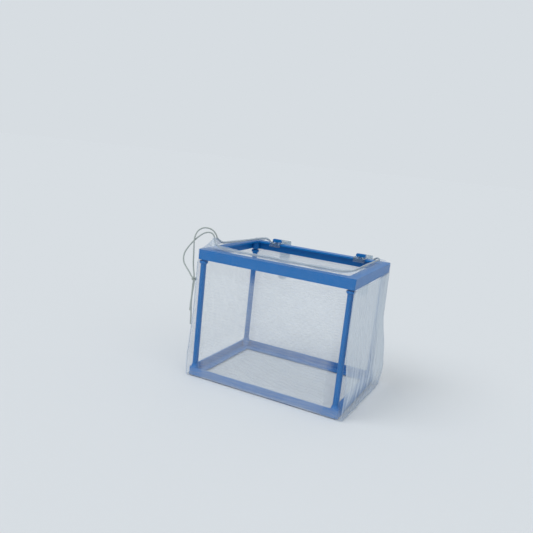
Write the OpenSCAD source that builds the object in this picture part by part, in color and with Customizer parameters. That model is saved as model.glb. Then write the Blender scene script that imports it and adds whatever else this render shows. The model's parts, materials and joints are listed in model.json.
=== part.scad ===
// Fish breeding box: a net bag on a frame of plastic rims and posts, with a
// drawstring round its mouth and two clear hangers that hook over the glass.
// Millimetres. X runs side to side, Y front to back with the hangers at +Y,
// Z up. The origin is the middle of the underside, where the box stands.

/* [Frame] */
// Outside length of both rims, side to side
rim_len = 170; // [140:1:220]
// Outside width of both rims, front to back
rim_wid = 125; // [100:1:170]
// Height from the underside of the bottom rim to the top of the top rim
frame_h = 137; // [110:1:180]
// Height of the top rim's outer wall
top_wall_h = 10.5; // [8.5:0.5:15]
// Height of the bottom rim's outer wall
bottom_wall_h = 8.5; // [7:0.5:13]
// Thickness of the rims' outer walls
wall_t = 1.8; // [1.4:0.1:2.4]
// Thickness of the rims' flanges
flange_t = 1.8; // [1.4:0.1:2.4]
// Width of the top rim's flange, from its outer edge to the mouth
top_flange_w = 10; // [8.5:0.5:13]
// Width of the bottom rim's flange
bottom_flange_w = 10.5; // [8.5:0.5:13]
// Radius of the rims' outer corners
corner_r = 2; // [1:0.5:4]
// Radius of the corners of the rims' openings
mouth_r = 3; // [1:0.5:6]

/* [Posts] */
// Diameter of a post
post_d = 6; // [5.4:0.1:6.8]
// Diameter of the collar near a post's upper end
collar_d = 9; // [8:0.1:9.4]
// Height of the collar, its sloped underside included
collar_h = 3.6; // [2.8:0.2:4.8]
// Diameter of the corner bosses that carry the posts
boss_d = 8.8; // [8:0.2:10]
// Distance from a corner boss to the rims' outer faces
boss_edge = 0.3; // [0.2:0.1:1]
// Height of the narrow neck between a post's collar and the top rim
neck_h = 1.6; // [1.2:0.2:3]
// Length of the taper above the bottom rim's bosses
foot_h = 3.5; // [2.5:0.5:6]
// Diameter of the pegs that plug into the posts
peg_d = 3.4; // [2.8:0.1:3.6]
// Length of the pegs
peg_len = 9; // [6:0.5:12]
// Radial clearance of a peg in its bore
peg_gap = 0.05; // [0.02:0.01:0.1]

/* [Hangers] */
// Distance from the middle of the box to a hanger's centre line
hanger_x = 52; // [35:1:56]
// Width of a hanger's strip
strip_w = 13; // [12:0.5:16]
// Thickness of a hanger's strip
strip_t = 1.5; // [1.2:0.1:2]
// Room for the tank's glass behind the back wall, with the hanger drawn out
glass_gap = 21; // [20:1:28]
// How far a hanger slides in from there
hanger_travel = 14; // [8:1:14]
// Length of a hanger's leg below the rim
leg_len = 48; // [36:1:60]
// Length of the lip at a hanger's front end
lip_len = 5.5; // [4:0.5:8]
// Gap between the lip and the edge of the flange
lip_gap = 0.4; // [0.3:0.1:1]
// Inside radius of the bend above the leg
bend_r = 1.5; // [1:0.5:3]
// Width of the head that holds a hanger down
head_w = 10.5; // [9:0.5:11.5]
// Depth of the head
head_d = 3.6; // [3.2:0.1:3.8]
// Height of the head
head_h = 3.4; // [2.4:0.2:4.4]
// Width of the stem under the head
stem_w = 3.6; // [3.4:0.1:4]
// Depth of the stem under the head
stem_d = 2.8; // [2.4:0.1:3.2]
// Clearance of the stem in the strip's slot, each side
slot_gap = 0.2; // [0.15:0.05:0.4]
// Clearance above and below the strip
slide_gap = 0.1; // [0.05:0.05:0.2]

/* [Net bag] */
// Thickness that stands for the net's folds
net_t = 0.8; // [0.5:0.1:1.2]
// Clearance between the net and the frame
net_gap = 0.3; // [0.2:0.05:0.5]
// Outside diameter of the drawstring casing
casing_d = 4; // [3.6:0.1:4.4]
// Wall of the casing
casing_wall = 0.9; // [0.6:0.1:1.1]
// Height of the peak where the drawstring leaves the casing
peak_h = 9; // [6:0.5:14]
// Distance from the front of the rim back to that peak
peak_y = 30; // [26:1:44]
// Diameter of the drawstring
string_d = 1.5; // [1.2:0.1:1.8]
// Diameter of the knot
knot_d = 5.2; // [4:0.2:7]

/* [Hidden] */
$fn = 48;
half_len = rim_len / 2;
half_wid = rim_wid / 2;
base_z = net_t + net_gap;                       // underside of the bottom rim
top_z = base_z + frame_h;                       // top of the top rim
post_inset = boss_d / 2 + boss_edge;
taper_d = post_d + 0.2;                         // small end of the bottom bosses' tapers
neck_d = post_d - 0.6;
collar_flat = 0.55;                             // share of the collar that isn't sloped
bore_d = peg_d + 2 * peg_gap;
bore_len = peg_len + 0.5;
post_z0 = base_z + bottom_wall_h + foot_h;
post_z1 = top_z - top_wall_h - neck_h;
stud_y = half_wid - top_flange_w / 2;
strip_z = top_z + slide_gap;                    // underside of the strips
lip_y = half_wid - top_flange_w - lip_gap - strip_t;
leg_y = half_wid + glass_gap;
leg_z = top_z - leg_len;
net_out = net_gap + net_t;                      // outside of the net beyond the rims
hem_gap = 0.2;                                  // between the casing and the net beside it
casing_r = casing_d / 2;
casing_in = top_flange_w + 2;                   // casing's line, in from the rim's edge
ride_z = net_gap + casing_r;                    // casing's line above the rim
back_y = half_wid + net_out + 0.2 + casing_r;   // casing's line behind the back wall
back_z = -casing_r - 1.5;                       // and its height there
back_net_z = top_z - 3.2;                       // top of the back net panel
tube_sides = 8;
cut = 1;                                        // overrun of a cut past a face

// The casing's line round the mouth, heights counted from the top of the rim.
// It starts at the front mouth of the casing, on the left side, and ends at
// the back one. At the back it crosses the rim and runs behind the wall.
casing_line = [
    [-half_len + 1.5, -half_wid + peak_y - 2.5, peak_h],
    [-half_len + 4, -half_wid + peak_y - 5, ride_z + 3.4],
    [-half_len + 9, -half_wid + peak_y - 9, ride_z + 0.9],
    [-half_len + 17, -half_wid + 16.5, ride_z],
    [-half_len + 28, -half_wid + casing_in + 0.5, ride_z],
    [-half_len / 3, -half_wid + casing_in, ride_z],
    [half_len / 3, -half_wid + casing_in, ride_z],
    [half_len - 28, -half_wid + casing_in + 0.5, ride_z],
    [half_len - 17, -half_wid + casing_in + 5, ride_z],
    [half_len - casing_in, -half_wid + 29, ride_z],
    [half_len - casing_in, 0, ride_z],
    [half_len - casing_in, half_wid - 25, ride_z],
    [half_len - 11, half_wid - 8, ride_z + 0.2],
    [half_len - 15, half_wid - 0.5, ride_z + 0.6],
    [half_len - 18, half_wid + 2.6, 1.4],
    [half_len - 21.5, back_y, -1.8],
    [half_len - 27, back_y, back_z],
    [half_len / 3, back_y, back_z - 0.5],
    [-half_len / 3, back_y, back_z - 0.5],
    [-half_len + 27, back_y, back_z],
    [-half_len + 21.5, back_y, -1.8],
    [-half_len + 18, half_wid + 2.6, 1.4],
    [-half_len + 15, half_wid - 0.5, ride_z + 0.6],
    [-half_len + 11, half_wid - 8, ride_z + 0.2],
    [-half_len + 9, half_wid - 25, ride_z + 0.4],
    [-half_len + 8, half_wid - 50, ride_z + 0.7],
    [-half_len + 5.5, -half_wid + peak_y + 12, ride_z + 1.4],
    [-half_len + 3.5, -half_wid + peak_y + 5.5, ride_z + 3.6],
    [-half_len + 1.5, -half_wid + peak_y + 2.5, peak_h],
];
line_steps = 3;                                 // points to each stretch of the line
front_cuff_end = 13;                            // stretch where the casing leaves the rim
back_cuff_start = 22;                           // and where it comes back over it

// The free strands, from the casing's mouths over the left side to the knot,
// and the two ends below it. Counted from the rim's front left corner.
corner = [-half_len, -half_wid, top_z];
knot_at = [-4.4, 3, -33.5];
strand_back = [
    [1.5, 32.5, 9], [0.6, 31.8, 12], [-1.6, 31, 15.2], [-4.6, 29.8, 17.5],
    [-7.8, 28, 18.5], [-10.8, 26, 18.6], [-13.6, 24, 17.6], [-15.8, 21.5, 15.2],
    [-16.9, 19, 11.6], [-16.8, 16.5, 6.1], [-15.1, 14, -1.3], [-13, 11.5, -8.9],
    [-11, 9, -16.6], [-8.6, 6.8, -23.6], [-6.2, 4.8, -28.6], knot_at + [-0.7, 0.4, 2],
];
strand_front = [
    [1.5, 27.5, 9], [0.4, 27, 12], [-2, 26, 14.2], [-5.7, 24.5, 14.5],
    [-9.8, 22.5, 12.8], [-14.6, 20, 8.4], [-19.3, 17.5, 2.6], [-23.2, 15, -3.9],
    [-25.3, 13, -9.3], [-25.1, 11, -14.6], [-22.7, 9, -19.4], [-18.1, 7, -23.2],
    [-13, 5.2, -27], [-9, 4, -30.7], knot_at + [-1.9, 0.3, 0.8],
];
end_long = [
    knot_at + [0.3, -0.2, -1.9], [-4, 2.4, -39.5], [-4.5, 1.9, -47.5], [-5, 2, -56.5],
    [-4.9, 2.4, -65.5], [-4.4, 2.7, -74.5], [-4.2, 2.6, -82.5],
];
end_short = [
    knot_at + [-0.9, 0.6, -1.7], [-6.1, 4.1, -39.5], [-6.7, 4.8, -46.5], [-7.3, 5.2, -54.5],
    [-7.7, 5.1, -61.5], [-7.4, 4.6, -68.5],
];

function unit(v) = v / norm(v);
function square_to(t) = unit(cross(t, abs(t.z) < 0.9 ? [0, 0, 1] : [0, 1, 0]));

// A smooth curve through every point of a list
function spline(pts, steps) = [
    for (i = [0 : len(pts) - 2], k = [0 : steps - 1])
        let (a = pts[max(i - 1, 0)], b = pts[i], c = pts[i + 1])
        let (d = pts[min(i + 2, len(pts) - 1)], s = k / steps)
        (2 * b + (c - a) * s + (2 * a - 5 * b + 4 * c - d) * s ^ 2
            + (3 * b - a - 3 * c + d) * s ^ 3) / 2,
    pts[len(pts) - 1],
];
function tangents(p) = [
    for (i = [0 : len(p) - 1]) unit(p[min(i + 1, len(p) - 1)] - p[max(i - 1, 0)])
];
// One sideways direction per point, carried along the line without twist
function sideways(t, i = 0, last = undef) =
    i == len(t) ? [] :
    let (u = i == 0 ? square_to(t[0]) : unit(last - (last * t[i]) * t[i]))
    concat([u], sideways(t, i + 1, u));
function rings(p, r, sides) =
    let (t = tangents(p), u = sideways(t))
    [for (i = [0 : len(p) - 1]) [for (k = [0 : sides - 1])
        p[i] + r * (cos(360 * k / sides) * u[i] + sin(360 * k / sides) * cross(t[i], u[i]))]];
function joined(lists) = [for (l = lists) each l];
// The two triangles of each quad between neighbouring rings of n points
function band(count, n, from = 0, flip = false) = [
    for (i = [0 : count - 2], k = [0 : n - 1])
        let (a = from + i * n + k, b = from + i * n + (k + 1) % n, c = b + n, d = a + n)
        each flip ? [[a, b, c], [a, c, d]] : [[c, b, a], [d, c, a]]
];

module skin(r) {
    n = len(r[0]);
    count = len(r);
    first = [for (k = [0 : n - 1]) k];
    last = [for (k = [n - 1 : -1 : 0]) (count - 1) * n + k];
    polyhedron(points = joined(r), faces = concat([first, last], band(count, n)));
}

// A tube along a line, open at both ends
module hollow_tube(p, r_out, r_in, sides) {
    outer = rings(p, r_out, sides);
    inner = rings(p, r_in, sides);
    count = len(p);
    shift = count * sides;
    end = (count - 1) * sides;
    caps = [for (k = [0 : sides - 1])
        let (m = (k + 1) % sides)
        each [
            [k, m, shift + m], [k, shift + m, shift + k],
            [end + m, end + k, shift + end + k], [end + m, shift + end + k, shift + end + m],
        ]];
    polyhedron(
        points = concat(joined(outer), joined(inner)),
        faces = concat(band(count, sides), band(count, sides, shift, true), caps));
}

casing_path = [for (q = spline(casing_line, line_steps)) q + [0, 0, top_z]];

module rounded_rect(l, w, r) {
    square([l - 2 * r, w], center = true);
    square([l, w - 2 * r], center = true);
    for (x = [-1, 1], y = [-1, 1])
        translate([x * (l / 2 - r), y * (w / 2 - r)]) circle(r);
}

module ring(h, inset, r_in) {
    linear_extrude(h) difference() {
        rounded_rect(rim_len, rim_wid, corner_r);
        rounded_rect(rim_len - 2 * inset, rim_wid - 2 * inset, r_in);
    }
}

module at_corners() {
    for (x = [-1, 1], y = [-1, 1])
        translate([x * (half_len - post_inset), y * (half_wid - post_inset), 0]) children();
}

// The stud that a hanger slides under: a stem through its slot and a wide head
module stud() {
    under = strip_t + 2 * slide_gap;
    edge = 0.8;                                 // chamfer on the head's upper edges
    translate([-stem_w / 2, -stem_d / 2, -flange_t / 2]) cube([stem_w, stem_d, flange_t / 2 + under + 0.1]);
    translate([0, head_d / 2, under]) rotate([90, 0, 0]) linear_extrude(head_d) polygon([
        [-head_w / 2, 0], [head_w / 2, 0], [head_w / 2, head_h - edge],
        [head_w / 2 - edge, head_h], [-head_w / 2 + edge, head_h], [-head_w / 2, head_h - edge]]);
}

module top_rim() {
    color("royalblue") {
        translate([0, 0, top_z - flange_t]) ring(flange_t, top_flange_w, mouth_r);
        translate([0, 0, top_z - top_wall_h]) ring(top_wall_h - flange_t / 2, wall_t, corner_r / 2);
        at_corners() {
            translate([0, 0, top_z - top_wall_h]) cylinder(d = boss_d, h = top_wall_h - flange_t / 2);
            translate([0, 0, post_z1]) cylinder(d = neck_d, h = neck_h);
            translate([0, 0, post_z1 - peg_len]) cylinder(d = peg_d, h = peg_len + neck_h);
        }
        for (x = [-1, 1]) translate([x * hanger_x, stud_y, top_z]) stud();
    }
}

module bottom_rim() {
    color("royalblue") {
        translate([0, 0, base_z]) ring(flange_t, bottom_flange_w, mouth_r);
        translate([0, 0, base_z + flange_t / 2]) ring(bottom_wall_h - flange_t / 2, wall_t, corner_r / 2);
        at_corners() {
            translate([0, 0, base_z + flange_t / 2]) cylinder(d = boss_d, h = bottom_wall_h - flange_t / 2);
            translate([0, 0, base_z + bottom_wall_h]) cylinder(d1 = boss_d, d2 = taper_d, h = foot_h);
            translate([0, 0, post_z0 - foot_h]) cylinder(d = peg_d, h = peg_len + foot_h);
        }
    }
}

module post(x, y) {
    flat_h = collar_h * collar_flat;
    color("steelblue")
    translate([x * (half_len - post_inset), y * (half_wid - post_inset), 0]) difference() {
        union() {
            translate([0, 0, post_z0]) cylinder(d = post_d, h = post_z1 - post_z0);
            translate([0, 0, post_z1 - flat_h]) cylinder(d = collar_d, h = flat_h);
            translate([0, 0, post_z1 - collar_h]) cylinder(d1 = post_d, d2 = collar_d, h = collar_h - flat_h);
        }
        translate([0, 0, post_z0 - cut]) cylinder(d = bore_d, h = bore_len + cut);
        translate([0, 0, post_z1 - bore_len]) cylinder(d = bore_d, h = bore_len + cut);
    }
}

module post_front_left() { post(-1, -1); }
module post_front_right() { post(1, -1); }
module post_back_left() { post(-1, 1); }
module post_back_right() { post(1, 1); }

// Side view of a hanger: lip, arm, bend and leg, Y to the right and Z up
module hanger_profile() {
    outer_r = bend_r + strip_t;
    bend_y = leg_y - bend_r;
    bend_z = strip_z - bend_r;
    translate([lip_y, strip_z + strip_t - lip_len]) square([strip_t, lip_len]);
    translate([lip_y, strip_z]) square([bend_y - lip_y, strip_t]);
    translate([bend_y, bend_z]) intersection() {
        difference() {
            circle(outer_r);
            circle(bend_r);
        }
        square(outer_r);
    }
    translate([leg_y, leg_z]) square([strip_t, bend_z - leg_z]);
}

module hanger(side) {
    end_r = strip_w / 2;
    slot_w = stem_w + 2 * slot_gap;
    slot_len = stem_d + 2 * slot_gap + hanger_travel;
    color("lightgray", 0.6)
    translate([side * hanger_x, 0, 0]) difference() {
        intersection() {
            rotate([90, 0, 90]) linear_extrude(strip_w, center = true) hanger_profile();
            // The leg's rounded lower end, seen from the front
            translate([0, leg_y + strip_t + cut, 0]) rotate([90, 0, 0])
            linear_extrude(leg_y + strip_t - lip_y + 2 * cut) {
                translate([0, leg_z + end_r]) circle(end_r);
                translate([-end_r, leg_z + end_r]) square([strip_w, leg_len + lip_len]);
            }
        }
        translate([-slot_w / 2, stud_y - stem_d / 2 - slot_gap, strip_z - cut])
            cube([slot_w, slot_len, strip_t + 2 * cut]);
    }
}

module hanger_left() { hanger(-1); }
module hanger_right() { hanger(1); }

// Front, floor and back of the bag, cut from one length of net
module net_main_panel() {
    l = rim_len + 2 * net_out;
    w = rim_wid + 2 * net_out;
    color("whitesmoke", 0.5) {
        translate([-l / 2, -w / 2, 0]) cube([l, w, net_t]);
        translate([-l / 2, -w / 2, 0]) cube([l, net_t, top_z + net_gap]);
        translate([-l / 2, w / 2 - net_t, 0]) cube([l, net_t, back_net_z]);
    }
}

module net_end(side) {
    color("gainsboro", 0.5)
    translate([side * (half_len + net_gap + net_t / 2), 0, (net_t + top_z + net_gap) / 2])
        cube([net_t, rim_wid + 2 * net_gap, top_z + net_gap - net_t], center = true);
}

module net_end_left() { net_end(-1); }
module net_end_right() { net_end(1); }

// The part of the net that is turned in over the rim: a band from the rim's
// outer edge to the casing, over one run of stretches of the casing's line
function rim_edge(p) =
    let (k = min((half_len + net_gap + net_t / 2) / abs(p.x), (half_wid + net_gap + net_t / 2) / abs(p.y)))
    [p.x * k, p.y * k, top_z + net_gap];
function cuff_rings(from, to) =
    let (t = tangents(casing_path))
    [for (i = [from : to])
        let (p = casing_path[i], o = rim_edge(p), way = unit(o - p))
        // Slanting ways to the edge leave the casing further out, to clear it squarely
        let (in = p + (casing_r + hem_gap) / norm(cross(t[i], way)) * way)
        let (up = net_t * unit(cross(t[i], in - o)))
        [o, in, in + up, o + up]];

module net_cuff_front() {
    color("gainsboro", 0.6) skin(cuff_rings(0, front_cuff_end * line_steps));
}

module net_cuff_left() {
    color("gainsboro", 0.6) skin(cuff_rings(back_cuff_start * line_steps, len(casing_path) - 1));
}

module drawstring_casing() {
    color("white") hollow_tube(casing_path, casing_r, casing_r - casing_wall, tube_sides);
}

module cord(path, d) {
    color("darkgray") skin(rings(path, d / 2, tube_sides));
}

module drawstring_held() { cord(casing_path, string_d); }
module strand_front() { cord([for (q = strand_front) q + corner], string_d); }
module strand_back() { cord([for (q = strand_back) q + corner], string_d); }
module cord_end_long() { cord([for (q = end_long) q + corner], string_d); }
module cord_end_short() { cord([for (q = end_short) q + corner], string_d); }

module cord_knot() {
    color("darkgray") translate(corner + knot_at) sphere(d = knot_d);
}

top_rim();
bottom_rim();
post_front_left();
post_front_right();
post_back_left();
post_back_right();
hanger_left();
hanger_right();
net_main_panel();
net_end_left();
net_end_right();
net_cuff_front();
net_cuff_left();
drawstring_casing();
drawstring_held();
strand_front();
strand_back();
cord_knot();
cord_end_long();
cord_end_short();
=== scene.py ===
import json
import math

import bmesh
import bpy
from mathutils import Matrix, Vector, noise


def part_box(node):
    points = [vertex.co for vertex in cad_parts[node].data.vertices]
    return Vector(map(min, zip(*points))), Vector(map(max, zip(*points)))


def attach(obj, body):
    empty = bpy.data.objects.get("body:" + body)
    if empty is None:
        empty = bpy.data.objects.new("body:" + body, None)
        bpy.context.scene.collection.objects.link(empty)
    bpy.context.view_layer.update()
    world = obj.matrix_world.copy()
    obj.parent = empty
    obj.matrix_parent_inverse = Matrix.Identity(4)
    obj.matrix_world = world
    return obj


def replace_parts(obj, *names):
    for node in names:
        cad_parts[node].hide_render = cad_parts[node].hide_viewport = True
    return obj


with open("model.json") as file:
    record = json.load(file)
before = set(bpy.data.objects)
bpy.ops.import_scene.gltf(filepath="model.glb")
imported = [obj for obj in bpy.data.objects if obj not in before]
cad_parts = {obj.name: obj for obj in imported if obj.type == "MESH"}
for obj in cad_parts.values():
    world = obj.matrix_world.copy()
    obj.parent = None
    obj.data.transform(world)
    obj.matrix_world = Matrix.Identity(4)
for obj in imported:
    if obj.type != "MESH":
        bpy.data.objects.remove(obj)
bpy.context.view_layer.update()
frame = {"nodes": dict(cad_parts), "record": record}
scene = bpy.context.scene
mm = 0.001  # sizes below are in millimetres unless a note says otherwise


# The camera stands before everything else, because the cords are measured against its view
cameraSetup = {
    "lens": 37.8,                   # on a sensor 36 wide
    "target": (-35.5, 0.0, 120.3),
    "distance": 615.0,
    "turn": 25.4,                   # degrees round to the right of straight ahead
    "rise": 11.0,                   # degrees above the horizon
    "roll": 6.1,
}


def placeCamera(setup):
    turn, rise, roll = (math.radians(setup[k]) for k in ("turn", "rise", "roll"))
    aim = Matrix.Rotation(turn, 3, "Z") @ Matrix.Rotation(math.pi / 2 - rise, 3, "X")
    aim = aim @ Matrix.Rotation(roll, 3, "Z")
    data = bpy.data.cameras.new("camera")
    data.lens = setup["lens"]
    data.sensor_fit = "HORIZONTAL"
    data.sensor_width = 36
    camera = bpy.data.objects.new("camera", data)
    place = Vector(setup["target"]) * mm + aim @ Vector((0, 0, setup["distance"] * mm))
    camera.matrix_world = Matrix.Translation(place) @ aim.to_4x4()
    scene.collection.objects.link(camera)
    scene.camera = camera


placeCamera(cameraSetup)

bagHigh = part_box("net_main_panel")[1]
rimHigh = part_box("bottom_rim")[1]
halfLen = rimHigh.x / mm            # the rims' outer faces
halfWid = rimHigh.y / mm
topZ = bagHigh.z / mm - 0.3         # the top rim's upper face
netX = bagHigh.x / mm - 0.4         # middle of the net's thickness
netY = bagHigh.y / mm - 0.4


def hexColor(code):
    channels = [int(code[i:i + 2], 16) / 255 for i in (1, 3, 5)]
    linear = [c / 12.92 if c <= 0.04045 else ((c + 0.055) / 1.055) ** 2.4 for c in channels]
    return (*linear, 1.0)


def addNode(tree, kind, inputs=None, **settings):
    node = tree.nodes.new(kind)
    for name, value in settings.items():
        setattr(node, name, value)
    for name, value in (inputs or {}).items():
        socket = node.inputs[name]
        if isinstance(value, bpy.types.NodeSocket):
            tree.links.new(value, socket)
        else:
            socket.default_value = value
    return node


def newMaterial(name):
    material = bpy.data.materials.new(name)
    material.use_nodes = True
    material.node_tree.nodes.clear()
    return material, material.node_tree


def finishMaterial(tree, shader):
    addNode(tree, "ShaderNodeOutputMaterial", {"Surface": shader.outputs[0]})


def mixColours(tree, share, first, second):
    mix = addNode(tree, "ShaderNodeMix", {"Factor": share}, data_type="RGBA")
    for socket, code in zip([s for s in mix.inputs if s.type == "RGBA"], (first, second)):
        socket.default_value = hexColor(code)
    return [s for s in mix.outputs if s.type == "RGBA"][0]


def mouldedPolystyrene(name, color, shade):
    # injection-moulded polystyrene: even colour with faint flow marks and a soft gloss
    material, tree = newMaterial(name)
    place = addNode(tree, "ShaderNodeTexCoord").outputs["Object"]
    flow = addNode(tree, "ShaderNodeTexNoise", {"Vector": place, "Scale": 1 / (22 * mm), "Detail": 3.0})
    grain = addNode(tree, "ShaderNodeTexNoise", {"Vector": place, "Scale": 1 / (0.9 * mm), "Detail": 2.0})
    gloss = addNode(tree, "ShaderNodeMapRange", {"Value": grain.outputs["Fac"], "To Min": 0.3,
                                                 "To Max": 0.44})
    bump = addNode(tree, "ShaderNodeBump", {"Height": grain.outputs["Fac"], "Strength": 0.12,
                                            "Distance": 0.05 * mm})
    shader = addNode(tree, "ShaderNodeBsdfPrincipled", {
        "Base Color": mixColours(tree, flow.outputs["Fac"], color, shade), "IOR": 1.55,
        "Specular IOR Level": 0.2, "Roughness": gloss.outputs["Result"], "Normal": bump.outputs["Normal"]})
    finishMaterial(tree, shader)
    return material


def clearPolystyrene(name):
    # clear polystyrene gone hazy and greyish
    material, tree = newMaterial(name)
    place = addNode(tree, "ShaderNodeTexCoord").outputs["Object"]
    haze = addNode(tree, "ShaderNodeTexNoise", {"Vector": place, "Scale": 1 / (6 * mm), "Detail": 3.0})
    rough = addNode(tree, "ShaderNodeMapRange", {"Value": haze.outputs["Fac"], "To Min": 0.12,
                                                 "To Max": 0.24})
    shader = addNode(tree, "ShaderNodeBsdfPrincipled", {
        "Base Color": hexColor("#9FB6C8"), "Roughness": rough.outputs["Result"], "IOR": 1.2,
        "Transmission Weight": 0.75, "Alpha": 0.72})
    finishMaterial(tree, shader)
    return material


def polyesterNet(name, color, layers, waves):
    # warp-knitted polyester net: white thread round small diamond holes. The real mesh
    # is 0.6 across; it is drawn at 1.2, because a finer one doesn't show. How much of
    # what lies behind it hides comes from each point's "cover", plus what the layers add.
    # Two drawn layers of it shimmer in faint waves
    meshPitch = 1.2 * mm
    material, tree = newMaterial(name)
    cloth = addNode(tree, "ShaderNodeTexCoord").outputs["UV"]
    turned = addNode(tree, "ShaderNodeMapping", {"Vector": cloth, "Rotation": (0, 0, math.radians(45)),
                                                 "Scale": (1 / meshPitch, 1 / meshPitch, 1)})
    cells = addNode(tree, "ShaderNodeTexVoronoi", {"Vector": turned.outputs["Vector"], "Scale": 1.0,
                                                   "Randomness": 0.0},
                    feature="DISTANCE_TO_EDGE", voronoi_dimensions="2D")
    thread = addNode(tree, "ShaderNodeMapRange", {"Value": cells.outputs["Distance"], "From Min": 0.04,
                                                  "From Max": 0.3, "To Min": 1.5, "To Max": 0.6})
    slack = addNode(tree, "ShaderNodeTexNoise", {"Vector": cloth, "Scale": 1 / (14 * mm), "Detail": 4.0})
    uneven = addNode(tree, "ShaderNodeMapRange", {"Value": slack.outputs["Fac"], "To Min": 0.75,
                                                  "To Max": 1.25})
    courses = addNode(tree, "ShaderNodeTexWave", {"Vector": cloth, "Scale": 0.314 / (3.2 * mm),
                                                  "Distortion": 9.0, "Detail": 2.0, "Detail Scale": 0.22},
                      wave_type="BANDS", bands_direction="Y")
    wavy = addNode(tree, "ShaderNodeMapRange", {"Value": courses.outputs["Fac"], "To Min": 1 - waves,
                                                "To Max": 1 + waves})
    own = addNode(tree, "ShaderNodeAttribute", attribute_name="cover")
    both = addNode(tree, "ShaderNodeMath", {0: own.outputs["Fac"], 1: layers}, operation="ADD")
    woven = addNode(tree, "ShaderNodeMath", {0: both.outputs["Value"], 1: thread.outputs["Result"]},
                    operation="MULTIPLY")
    loose = addNode(tree, "ShaderNodeMath", {0: woven.outputs["Value"], 1: uneven.outputs["Result"]},
                    operation="MULTIPLY")
    cover = addNode(tree, "ShaderNodeMath", {0: loose.outputs["Value"], 1: wavy.outputs["Result"]},
                    operation="MULTIPLY", use_clamp=True)
    bump = addNode(tree, "ShaderNodeBump", {"Height": cells.outputs["Distance"], "Strength": 0.3,
                                            "Distance": 0.1 * mm}, invert=True)
    shader = addNode(tree, "ShaderNodeBsdfPrincipled", {
        "Base Color": hexColor(color), "Roughness": 0.7, "IOR": 1.5, "Specular IOR Level": 0.2,
        "Alpha": cover.outputs["Value"], "Normal": bump.outputs["Normal"]})
    finishMaterial(tree, shader)
    return material


def twistedPolyester(name):
    # thin twisted polyester cord, off-white and a little grey in the lay of its plies
    material, tree = newMaterial(name)
    cloth = addNode(tree, "ShaderNodeTexCoord").outputs["UV"]
    fibre = addNode(tree, "ShaderNodeTexNoise", {"Vector": cloth, "Scale": 1 / (0.4 * mm), "Detail": 3.0})
    bump = addNode(tree, "ShaderNodeBump", {"Height": fibre.outputs["Fac"], "Strength": 0.4,
                                            "Distance": 0.1 * mm})
    shader = addNode(tree, "ShaderNodeBsdfPrincipled", {
        "Base Color": mixColours(tree, fibre.outputs["Fac"], "#7F8D8E", "#C3CAC6"), "Roughness": 0.7,
        "Normal": bump.outputs["Normal"]})
    finishMaterial(tree, shader)
    return material


bluePlastic = mouldedPolystyrene("blue moulded polystyrene", "#056FBA", "#0466AC")
clearPlastic = clearPolystyrene("hazy clear polystyrene")
# gathered or folded on itself the net shades itself, so it is drawn deeper there
bagNet = polyesterNet("polyester net", "#E1E8EE", 0.0, 0.12)
endNet = polyesterNet("polyester net, gathered", "#CAD5DF", 0.0, 0.03)
turnedNet = polyesterNet("polyester net, turned in", "#BFCEDE", 0.0, 0.03)
hemNet = polyesterNet("polyester net, doubled hem", "#BFCEDE", 0.38, 0.03)
cordYarn = twistedPolyester("twisted polyester cord")
print("materials ready")


def smoothStep(value, low, high):
    t = min(1.0, max(0.0, (value - low) / (high - low)))
    return t * t * (3 - 2 * t)


def smoothLine(points, steps):
    points = [Vector(p) for p in points]
    line = []
    for i in range(len(points) - 1):
        a, b, c, d = (points[min(max(k, 0), len(points) - 1)] for k in (i - 1, i, i + 1, i + 2))
        for k in range(steps):
            s = k / steps
            line.append((2 * b + (c - a) * s + (2 * a - 5 * b + 4 * c - d) * s ** 2
                         + (3 * b - a - 3 * c + d) * s ** 3) / 2)
    return line + [points[-1]]


def finishPiece(bm, name, material):
    mesh = bpy.data.meshes.new(name)
    bm.to_mesh(mesh)
    bm.free()
    piece = bpy.data.objects.new(name, mesh)
    scene.collection.objects.link(piece)
    mesh.materials.append(material)
    for face in mesh.polygons:
        face.use_smooth = True
    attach(piece, "box")
    return piece


def clothPiece(name, material, width, length, columns, rows, drape, hides):
    # a flat cut of cloth, meshed, then every point moved to where it hangs; hides gives the
    # share of what lies behind that the net covers there
    bm = bmesh.new()
    bmesh.ops.create_grid(bm, x_segments=columns, y_segments=rows, size=0.5)
    weave = bm.loops.layers.uv.new("weave")
    cover = bm.verts.layers.float.new("cover")
    for face in bm.faces:
        for loop in face.loops:
            loop[weave].uv = (loop.vert.co.x * width * mm, loop.vert.co.y * length * mm)
    for vert in bm.verts:
        across, down = vert.co.x + 0.5, 0.5 - vert.co.y
        vert[cover] = hides(across, down)
        vert.co = drape(across, down) * mm
    return finishPiece(bm, name, material)


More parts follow.
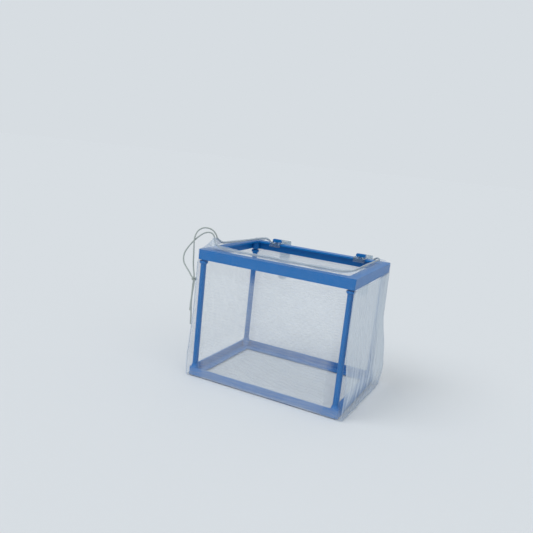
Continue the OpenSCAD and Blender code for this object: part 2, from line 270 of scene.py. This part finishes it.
def tubePiece(name, material, line, radius, sides, shape):
    # a tube swept along a line, carried without twist; shape(turn, along) scales its radius
    ways = [(line[min(i + 1, len(line) - 1)] - line[max(i - 1, 0)]).normalized() for i in range(len(line))]
    side = ways[0].orthogonal().normalized()
    bm = bmesh.new()
    weave = bm.loops.layers.uv.new("weave")
    along, rings, spot = 0.0, [], {}
    for i, (point, way) in enumerate(zip(line, ways)):
        side = (side - side.dot(way) * way).normalized()
        along += (point - line[i - 1]).length if i else 0.0
        ring = bmesh.ops.create_circle(bm, segments=sides, radius=1.0)["verts"]
        for k, vert in enumerate(ring):
            turn = 2 * math.pi * k / sides
            reach = radius * shape(turn, along)
            vert.co = (point + reach * (math.cos(turn) * side + math.sin(turn) * way.cross(side))) * mm
            spot[vert] = (k, along)
        rings.append(list({edge for vert in ring for edge in vert.link_edges}))
    for near, far in zip(rings, rings[1:]):
        for face in bmesh.ops.bridge_loops(bm, edges=near + far)["faces"]:
            last = any(spot[vert][0] == sides - 1 for vert in face.verts)
            for loop in face.loops:
                k, at = spot[loop.vert]
                turned = (sides if last and k == 0 else k) / sides
                loop[weave].uv = (2 * math.pi * radius * turned * mm, at * mm)
    for end in (rings[0], rings[-1]):
        bmesh.ops.contextual_create(bm, geom=end)
    bmesh.ops.recalc_face_normals(bm, faces=bm.faces)
    return finishPiece(bm, name, material)


# The drawstring's free strands, knot and ends, counted from the rim's front left corner
cord = {
    "diameter": 1.5,
    "ply": 5.0,                     # length in which a ply goes once round
    "plies": 3,
    "knotSize": 5.2,
    "sides": 12,                    # of the tube that each cord is
    "steps": 8,                     # of its line between two points of the route
    "knotSteps": 96,
}
corner = Vector((-halfLen, -halfWid, topZ))
knotAt = Vector((-4.4, 3, -33.5))
strandBack = [
    (1.5, 32.5, 9), (0.6, 31.8, 12), (-1.6, 31, 15.2), (-4.6, 29.8, 17.5),
    (-7.8, 28, 18.5), (-10.8, 26, 18.6), (-13.6, 24, 17.6), (-15.8, 21.5, 15.2),
    (-16.9, 19, 11.6), (-16.8, 16.5, 6.1), (-15.1, 14, -1.3), (-13, 11.5, -8.9),
    (-11, 9, -16.6), (-8.6, 6.8, -23.6), (-6.2, 4.8, -28.6), knotAt + Vector((-0.7, 0.4, 2)),
]
strandFront = [
    (1.5, 27.5, 9), (0.4, 27, 12), (-2, 26, 14.2), (-5.7, 24.5, 14.5),
    (-9.8, 22.5, 12.8), (-14.6, 20, 8.4), (-19.3, 17.5, 2.6), (-23.2, 15, -3.9),
    (-25.3, 13, -9.3), (-25.1, 11, -14.6), (-22.7, 9, -19.4), (-18.1, 7, -23.2),
    (-13, 5.2, -27), (-9, 4, -30.7), knotAt + Vector((-1.9, 0.3, 0.8)),
]
endLong = [
    knotAt + Vector((0.3, -0.2, -1.9)), (-4, 2.4, -39.5), (-4.5, 1.9, -47.5), (-5, 2, -56.5),
    (-4.9, 2.4, -65.5), (-4.4, 2.7, -74.5), (-4.2, 2.6, -82.5),
]
endShort = [
    knotAt + Vector((-0.9, 0.6, -1.7)), (-6.1, 4.1, -39.5), (-6.7, 4.8, -46.5), (-7.3, 5.2, -54.5),
    (-7.7, 5.1, -61.5), (-7.4, 4.6, -68.5),
]


def plyShape(turn, along):
    return 1.0 + 0.1 * math.cos(cord["plies"] * (turn - 2 * math.pi * along / cord["ply"]))


def layCord(name, route, node):
    line = smoothLine([Vector(p) + corner for p in route], cord["steps"])
    length = sum((b - a).length for a, b in zip(line, line[1:]))
    piece = tubePiece(name, cordYarn, line, cord["diameter"] / 2, cord["sides"], plyShape)
    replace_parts(piece, node)
    print(f"{name}: {length:.0f} mm of cord")


def tieKnot():
    # the two cords pulled into one overhand knot: a cord wound on a trefoil's line
    size = cord["knotSize"] / 2 - cord["diameter"] / 2
    line = []
    for k in range(cord["knotSteps"] + 1):
        t = 2 * math.pi * k / cord["knotSteps"]
        line.append(corner + knotAt + size / 2.6 * Vector((
            math.sin(t) + 2 * math.sin(2 * t), 1.6 * math.sin(3 * t),
            1.25 * (math.cos(t) - 2 * math.cos(2 * t)))))
    piece = tubePiece("drawstring_knot", cordYarn, line, cord["diameter"] / 2, cord["sides"], plyShape)
    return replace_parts(piece, "cord_knot")


knot = tieKnot()
layCord("strand_from_front", strandFront, "strand_front")
layCord("strand_from_back", strandBack, "strand_back")
layCord("cord_end_lower", endLong, "cord_end_long")
layCord("cord_end_upper", endShort, "cord_end_short")
print("drawstring laid")


# The net bag: one length for front, floor and back, and two ends sewn to it
bag = {
    "edge": 2.6,                    # radius of the bag's corners
    "bulge": {-1: 3.0, 1: 7.5},     # how far the left and right ends stand out near the floor
    "endFold": 1.6,                 # height of the folds in the ends
    "wallFold": 0.35,               # and in the front and back
    "wideFold": 9.5,                # spacing of the ends' wide folds and of the fine ones on them
    "fineFold": 4.6,
    "leanFrom": 88,                 # depth under the mouth from which the folds lean over
    "slackFrom": 12,                # depth under the mouth at which the net starts to hang free
    "slackFull": 45,
    "bulgeFrom": 55,
    "bulgeFull": 112,
    "gather": 1.15,                 # width of an end's flat cut over the width it fills
    "slack": 1.05,                  # and the same for its height
    "endMesh": (150, 110),          # columns and rows
    "mainMesh": (120, 300),
    "seam": 1.0,
    "stitch": 2.4,
    "seamSteps": 30,                # along each of the seam's three straight stretches
}
# the share of what lies behind that the net hides; -1 is the left end, 1 the right one
veil = {
    "overRim": 0.13,
    "gathered": {-1: 0.14, 1: 0.42},
    "gatheredBehind": {-1: 0.0, 1: 0.2},        # more of it towards the back
    "folded": {-1: 0.25, 1: 1.3},
    "foldedBehind": {-1: 0.0, 1: 1.2},
    "tight": 0.04,                              # front and back, over rim and posts
    "slack": 0.17,
    "floor": 0.26,
    "crease": 0.35,                             # along the floor's front and back edges
}


def ridges(value, seed):
    # a row of uneven folds: sharp ridges with wide valleys between
    wave = noise.noise(Vector((value, seed, 0.3)))
    return 1.0 - min(1.0, abs(wave) * 3.2)


def endFolds(y, drop, side):
    # upright folds from the rim, strongest at the back, that lean over near the floor
    lean = 0.4 * max(0.0, drop - bag["leanFrom"])
    wander = 2.2 * noise.noise(Vector((y / 26, drop / 60, 3 + side)))
    wide = ridges((y + wander + lean) / bag["wideFold"], 1.7 + side + drop / 420)
    fine = ridges((y - wander + lean) / bag["fineFold"], 7.1 + side + drop / 260)
    backward = 0.55 + 0.45 * smoothStep(y, -20, 40)
    return (0.65 * wide + 0.35 * fine) * max(backward, smoothStep(drop, 85, 115))


def wallFolds(x, drop):
    # slow waves over the front and back
    return noise.noise(Vector((x / 34 + drop / 130, drop / 55, 9.0)))


def hang(x, y, z):
    # a point of the plain box, moved to where the net hangs
    edge = bag["edge"]
    inner = Vector((max(-netX + edge, min(netX - edge, x)), max(-netY + edge, min(netY - edge, y)),
                    max(edge + 0.3, z)))
    out = Vector((x, y, z)) - inner
    out = out.normalized() if out.length > 1e-6 else Vector((0, 0, 0))
    drop = topZ - z
    free = smoothStep(drop, bag["slackFrom"], bag["slackFull"])
    low = smoothStep(drop, bag["bulgeFrom"], bag["bulgeFull"]) * (1 - 0.2 * smoothStep(drop, 122, 136))
    side = 1 if x > 0 else -1
    atEnd = smoothStep(abs(x), netX - 16, netX)
    fold = abs(out.x) * bag["endFold"] * (0.45 * free + 0.55 * smoothStep(drop, 30, 120))
    fold *= endFolds(y, drop, side)
    fold += abs(out.y) * bag["wallFold"] * free * wallFolds(x, drop)
    place = inner + out * (edge + fold)
    slack = (0.6 + 0.25 * (1 - (abs(y) / netY) ** 4)) * (1 + 0.45 * side * smoothStep(y, -30, netY))
    place.x += side * atEnd * bag["bulge"][side] * low * slack
    place.y += out.y * 1.2 * low * atEnd
    place.z = max(0.25, place.z)
    return place


def endCover(y, drop, side):
    # over the rim one layer lies flat; below it the net is gathered, most at the right
    step = 0.6
    slope = abs(endFolds(y + step, drop, side) - endFolds(y - step, drop, side)) / (2 * step)
    below = smoothStep(drop, 9, 13)
    low = smoothStep(drop, 108, 129)
    behind = smoothStep(y, -5, 45)
    gathered = (veil["gathered"][side] + veil["gatheredBehind"][side] * behind) * below
    folded = (veil["folded"][side] + veil["foldedBehind"][side] * behind) * min(0.3, slope) * below
    return veil["overRim"] + gathered * (1 - 0.85 * low) + folded * (1 - 0.65 * low)


def backTop(x):
    # the back wall's edge: under the hem behind the rim, up over the rim at the corners
    return topZ - 3.4 + 3.8 * smoothStep(abs(x), 64, 73)


def mainCover(across, down):
    # drawn tight over the rim and posts the net hardly shows; between them it is slack and
    # hides more, and the folds along the lower edges hide most
    at = down * (2 * topZ + 2 * netY)
    floorStart, floorEnd = topZ, topZ + 2 * netY
    between = smoothStep(netX - abs(across - 0.5) * 2 * netX, 9, 20)
    low = smoothStep(at, floorStart - 16, floorStart - 4)
    share = veil["tight"] + veil["slack"] * max(low, 1.25 * between * smoothStep(at, 12, 30))
    share += veil["floor"] * smoothStep(at, floorStart, floorStart + 10)
    crease = max(0.0, 1 - abs(at - floorStart) / 2.2) + max(0.0, 1 - abs(at - floorEnd) / 2.2)
    return share + veil["crease"] * crease


def drapeMain(across, down):
    x = (across - 0.5) * 2 * netX
    wallHeight, floorDepth = topZ, 2 * netY
    backHeight = backTop(x)
    total = wallHeight + floorDepth + backHeight
    at = down * total
    if at < wallHeight:
        return hang(x, -netY, wallHeight - at)
    if at < wallHeight + floorDepth:
        return hang(x, -netY + at - wallHeight, 0)
    return hang(x, netY, at - wallHeight - floorDepth)


def endPanel(side):
    def drape(across, down):
        return hang(side * netX, (across - 0.5) * 2 * netY, topZ * (1 - down))

    def hides(across, down):
        return endCover((across - 0.5) * 2 * netY, topZ * down, side)

    name = "right" if side > 0 else "left"
    piece = clothPiece("net_end_panel_" + name, endNet, 2 * netY, topZ, *bag["endMesh"], drape, hides)
    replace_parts(piece, "net_end_" + name)


def seamShape(turn, along):
    # the overlock stitch nips the seam every couple of millimetres
    return 1.0 + 0.25 * math.sin(2 * math.pi * along / bag["stitch"]) * math.cos(turn)


def sewnSeam(side):
    # where an end is sewn to the main panel: down the front, along the floor and up the back
    low, high, out, front = 1.2, topZ - 13, netX - 0.5, -netY + 0.4
    steps = bag["seamSteps"]
    route = [(side * out, front, high - (high - low) * k / steps) for k in range(steps)]
    route += [(side * out, front - 2 * front * k / steps, low) for k in range(steps)]
    route += [(side * out, -front, low + (high - low) * k / steps) for k in range(steps + 1)]
    line = [hang(*point) for point in route]
    name = "right" if side > 0 else "left"
    piece = tubePiece("net_seam_" + name, hemNet, smoothLine(line, 3), bag["seam"] / 2, 8, seamShape)


mainPanel = clothPiece("net_front_floor_back", bagNet, 2 * netX, 2 * topZ + 2 * netY, *bag["mainMesh"],
                       drapeMain, mainCover)
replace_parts(mainPanel, "net_main_panel")
for side in (-1, 1):
    endPanel(side)
    sewnSeam(side)
print("net bag hung")


# The hem round the mouth, and the net turned in over the rim to it
hem = {
    "tube": 4.0,                    # diameter of the casing round the drawstring
    "pucker": 4.2,                  # length of one pucker
    "drawn": 0.38,                  # how much thinner it is where the string draws it tight
    "turnedInFront": 14.0,          # mean width of net between the rim's edge and the casing
    "turnedInLeft": 10.0,           # its own mean is 9.2, but no flat cut is taken under 10
    "inset": 12.0,                  # from the rim's front and right edges to the casing's middle
    "ride": 2.3,                    # its middle's height over the rim
    "backRun": 3.3,                 # how far behind the rim it runs
    "backDrop": -3.5,               # and how far under its upper face
    "peakY": 30.0,                  # the peak, behind the rim's front left corner
    "peakZ": 9.0,
    "steps": 12,                    # of its line between two points
    "sides": 16,
    "cuffRows": 12,
    "veil": 0.09,                   # what the turned-in net hides at the rim's edge,
    "veilAtHem": 0.17,              # what comes on top of it at the hem
    "veilTented": 0.34,             # and where it is drawn up to the peak
}
hemInset, hemRide, backRun, backDrop = hem["inset"], hem["ride"], hem["backRun"], hem["backDrop"]
peakY, peakZ = hem["peakY"], hem["peakZ"]
casingLine = [
    (-halfLen + 1.5, -halfWid + peakY - 2.5, peakZ),
    (-halfLen + 4, -halfWid + peakY - 5, hemRide + 3.4),
    (-halfLen + 9, -halfWid + peakY - 9, hemRide + 0.9),
    (-halfLen + 17, -halfWid + 16.5, hemRide),
    (-halfLen + 28, -halfWid + hemInset + 0.5, hemRide),
    (-halfLen / 3, -halfWid + hemInset, hemRide),
    (halfLen / 3, -halfWid + hemInset, hemRide),
    (halfLen - 28, -halfWid + hemInset + 0.5, hemRide),
    (halfLen - 17, -halfWid + hemInset + 5, hemRide),
    (halfLen - hemInset, -halfWid + 29, hemRide),
    (halfLen - hemInset, 0, hemRide),
    (halfLen - hemInset, halfWid - 25, hemRide),
    (halfLen - 11, halfWid - 8, hemRide + 0.2),
    (halfLen - 15, halfWid - 0.5, hemRide + 0.6),
    (halfLen - 18, halfWid + 2.6, 1.4),
    (halfLen - 21.5, halfWid + backRun, -1.8),
    (halfLen - 27, halfWid + backRun, backDrop),
    (halfLen / 3, halfWid + backRun, backDrop - 0.5),
    (-halfLen / 3, halfWid + backRun, backDrop - 0.5),
    (-halfLen + 27, halfWid + backRun, backDrop),
    (-halfLen + 21.5, halfWid + backRun, -1.8),
    (-halfLen + 18, halfWid + 2.6, 1.4),
    (-halfLen + 15, halfWid - 0.5, hemRide + 0.6),
    (-halfLen + 11, halfWid - 8, hemRide + 0.2),
    (-halfLen + 9, halfWid - 25, hemRide + 0.4),
    (-halfLen + 8, halfWid - 50, hemRide + 0.7),
    (-halfLen + 5.5, -halfWid + peakY + 12, hemRide + 1.4),
    (-halfLen + 3.5, -halfWid + peakY + 5.5, hemRide + 3.6),
    (-halfLen + 1.5, -halfWid + peakY + 2.5, peakZ),
]
hemPath = [p + Vector((0, 0, topZ)) for p in smoothLine(casingLine, hem["steps"])]


def farAlong(reached):
    # distance along the hem to its first point past a place
    length = 0.0
    for a, b in zip(hemPath, hemPath[1:]):
        if reached(b):
            return length
        length += (b - a).length
    return length


rightStart = farAlong(lambda p: p.x > halfLen - 13)
backStart = farAlong(lambda p: p.y > halfWid + 2)


def hemShape(turn, along):
    pucker = noise.noise(Vector((along / hem["pucker"] * 2.2, math.cos(turn) * 0.7, math.sin(turn) * 0.7)))
    slack = noise.noise(Vector((along / 21, 4.0, 1.0)))
    lobes = 0.16 * math.cos(2 * turn + along / 9)
    drawn = smoothStep(along, rightStart - 12, rightStart + 8)
    drawn *= 1 - 0.5 * smoothStep(along, backStart, backStart + 9)
    return (0.86 + 0.26 * pucker + 0.2 * slack + lobes) * (1 - hem["drawn"] * drawn)


casing = tubePiece("drawstring_hem", hemNet, hemPath, hem["tube"] / 2, hem["sides"], hemShape)
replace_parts(casing, "drawstring_casing")


def rimEdge(point):
    # where the net bends over the rim's outer edge, straight out from a point of the hem
    reach = min(netX / abs(point.x), netY / abs(point.y))
    return Vector((point.x * reach, point.y * reach, topZ - 0.6))


def tent(place, s):
    # the drawstring pulls the net up from the rim's front left corner to the peak
    lift = peakZ * min(1.0, max(0.0, (place.y + halfWid) / peakY))
    lift *= smoothStep(-place.x, halfLen - 11, halfLen - 2)
    if place.y > -halfWid + peakY:
        lift *= 1 - smoothStep(place.y, -halfWid + peakY, -halfWid + peakY + 9)
    place.z = max(place.z, topZ + lift * min(1.0, s * 2.2))
    return place


def cuffPiece(name, node, width, first, last):
    # net from the rim's edge to the hem, between two points of the casing's line
    run = hemPath[first * hem["steps"]:last * hem["steps"] + 1]

    def drape(across, s):
        at = across * (len(run) - 1)
        k = min(int(at), len(run) - 2)
        target = run[k].lerp(run[k + 1], at - k)
        edge = rimEdge(target)
        inward = Vector((target.x - edge.x, target.y - edge.y, 0))
        bend = edge + Vector((0, 0, 1.35)) + inward * 0.02
        crest = edge + inward * 0.35 + Vector((0, 0, 1.25 + 0.3 * (target.z - edge.z)))
        stop = target + (edge - target).normalized() * 1.6
        place = (1 - s) ** 3 * edge + 3 * (1 - s) ** 2 * s * bend
        place += 3 * (1 - s) * s * s * crest + s ** 3 * stop
        pleat = noise.noise(Vector((at * 0.42, s * 0.6, 5.0))) + 0.5 * noise.noise(Vector((at * 0.9, s, 2.0)))
        place.z += 0.9 * smoothStep(s, 0.1, 0.9) * (pleat + 0.3)
        place.z = max(place.z, topZ + 0.25) if s > 0.12 else place.z
        return tent(place, s)

    def hides(across, down):
        near = run[min(int(across * len(run)), len(run) - 1)]
        tented = 1 - smoothStep(near.x + halfLen, 10, 32)
        tented *= 1 - smoothStep(near.y + halfWid, peakY + 2, peakY + 16)
        return hem["veil"] + hem["veilAtHem"] * smoothStep(down, 0.4, 1.0) + hem["veilTented"] * tented

    length = sum((b - a).length for a, b in zip(run, run[1:]))
    piece = clothPiece(name, turnedNet, length, width, (len(run) - 1) * 2, hem["cuffRows"], drape, hides)
    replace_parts(piece, node)


cuffPiece("net_turned_in_front", "net_cuff_front", hem["turnedInFront"], 0, 13)
cuffPiece("net_turned_in_left", "net_cuff_left", hem["turnedInLeft"], 22, 28)
print("hem and turned-in net made")


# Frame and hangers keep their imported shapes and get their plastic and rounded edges
edging = {
    "width": 0.3,                   # radius that the mould leaves on the edges
    "angle": 35.0,                  # degrees, from which an edge is rounded
}


def roundEdges(piece):
    weld = piece.modifiers.new("weld", "WELD")
    weld.merge_threshold = 0.01 * mm
    bevel = piece.modifiers.new("edges", "BEVEL")
    bevel.width = edging["width"] * mm
    bevel.segments = 2
    bevel.limit_method = "ANGLE"
    bevel.angle_limit = math.radians(edging["angle"])
    bevel.profile = 0.5
    bevel.material = -1


finishes = {"rim_plastic": bluePlastic, "clear_plastic": clearPlastic, "cord": cordYarn, "net": bagNet,
            "net_hem": hemNet}
for entry in frame["record"]["subparts"]:
    node = frame["nodes"][entry["node"]]
    node.data.materials.clear()
    node.data.materials.append(finishes[entry["material_slot"]])
    if entry["material_slot"] in ("rim_plastic", "clear_plastic"):
        roundEdges(node)
print("frame finished")


# Floor and light
studio = {
    "floor": "#D9DFE4",
    "floorSize": 60000.0,
    "sky": 0.65,                    # light from all round
    "farFloor": 0.98,               # how bright the floor looks far away
    "keyLight": ((-5, -6, 10), 40, 1.05),       # where it comes from, its spread in degrees, strength
    "fillLight": ((8, -5, 7), 60, 0.4),
}


def studioFloor():
    bm = bmesh.new()
    bmesh.ops.create_grid(bm, x_segments=24, y_segments=24, size=studio["floorSize"] / 2 * mm)
    mesh = bpy.data.meshes.new("studio_floor")
    bm.to_mesh(mesh)
    bm.free()
    floor = bpy.data.objects.new("studio_floor", mesh)
    scene.collection.objects.link(floor)
    material, tree = newMaterial("matt studio paper")
    shader = addNode(tree, "ShaderNodeBsdfPrincipled", {"Base Color": hexColor(studio["floor"]),
                                                        "Roughness": 1.0, "Specular IOR Level": 0.0})
    finishMaterial(tree, shader)
    mesh.materials.append(material)


def sunLight(name, place, spread, strength):
    data = bpy.data.lights.new(name, "SUN")
    data.angle = math.radians(spread)
    data.energy = strength
    lamp = bpy.data.objects.new(name, data)
    lamp.rotation_euler = Vector(place).to_track_quat("Z", "Y").to_euler()
    scene.collection.objects.link(lamp)


def skyLight(strength):
    # white light from all round; what shows of it has the far floor's own colour, so no horizon shows
    world = bpy.data.worlds.new("studio air")
    world.use_nodes = True
    tree = world.node_tree
    tree.nodes.clear()
    ray = addNode(tree, "ShaderNodeLightPath")
    mirrored = addNode(tree, "ShaderNodeMath", {0: ray.outputs["Is Camera Ray"],
                                                1: ray.outputs["Is Glossy Ray"]}, operation="MAXIMUM")
    shown = addNode(tree, "ShaderNodeMath", {0: mirrored.outputs["Value"],
                                             1: ray.outputs["Is Transmission Ray"]}, operation="MAXIMUM")
    air = addNode(tree, "ShaderNodeBackground", {"Color": hexColor("#FFFFFF"), "Strength": strength})
    paper = addNode(tree, "ShaderNodeBackground", {"Color": hexColor(studio["floor"]),
                                                   "Strength": studio["farFloor"]})
    seen = addNode(tree, "ShaderNodeMixShader", {0: shown.outputs["Value"], 1: air.outputs["Background"],
                                                 2: paper.outputs["Background"]})
    addNode(tree, "ShaderNodeOutputWorld", {"Surface": seen.outputs["Shader"]})
    scene.world = world


studioFloor()
sunLight("key light", *studio["keyLight"])
sunLight("fill light", *studio["fillLight"])
skyLight(studio["sky"])
scene.view_settings.view_transform = "Standard"
print("studio ready")
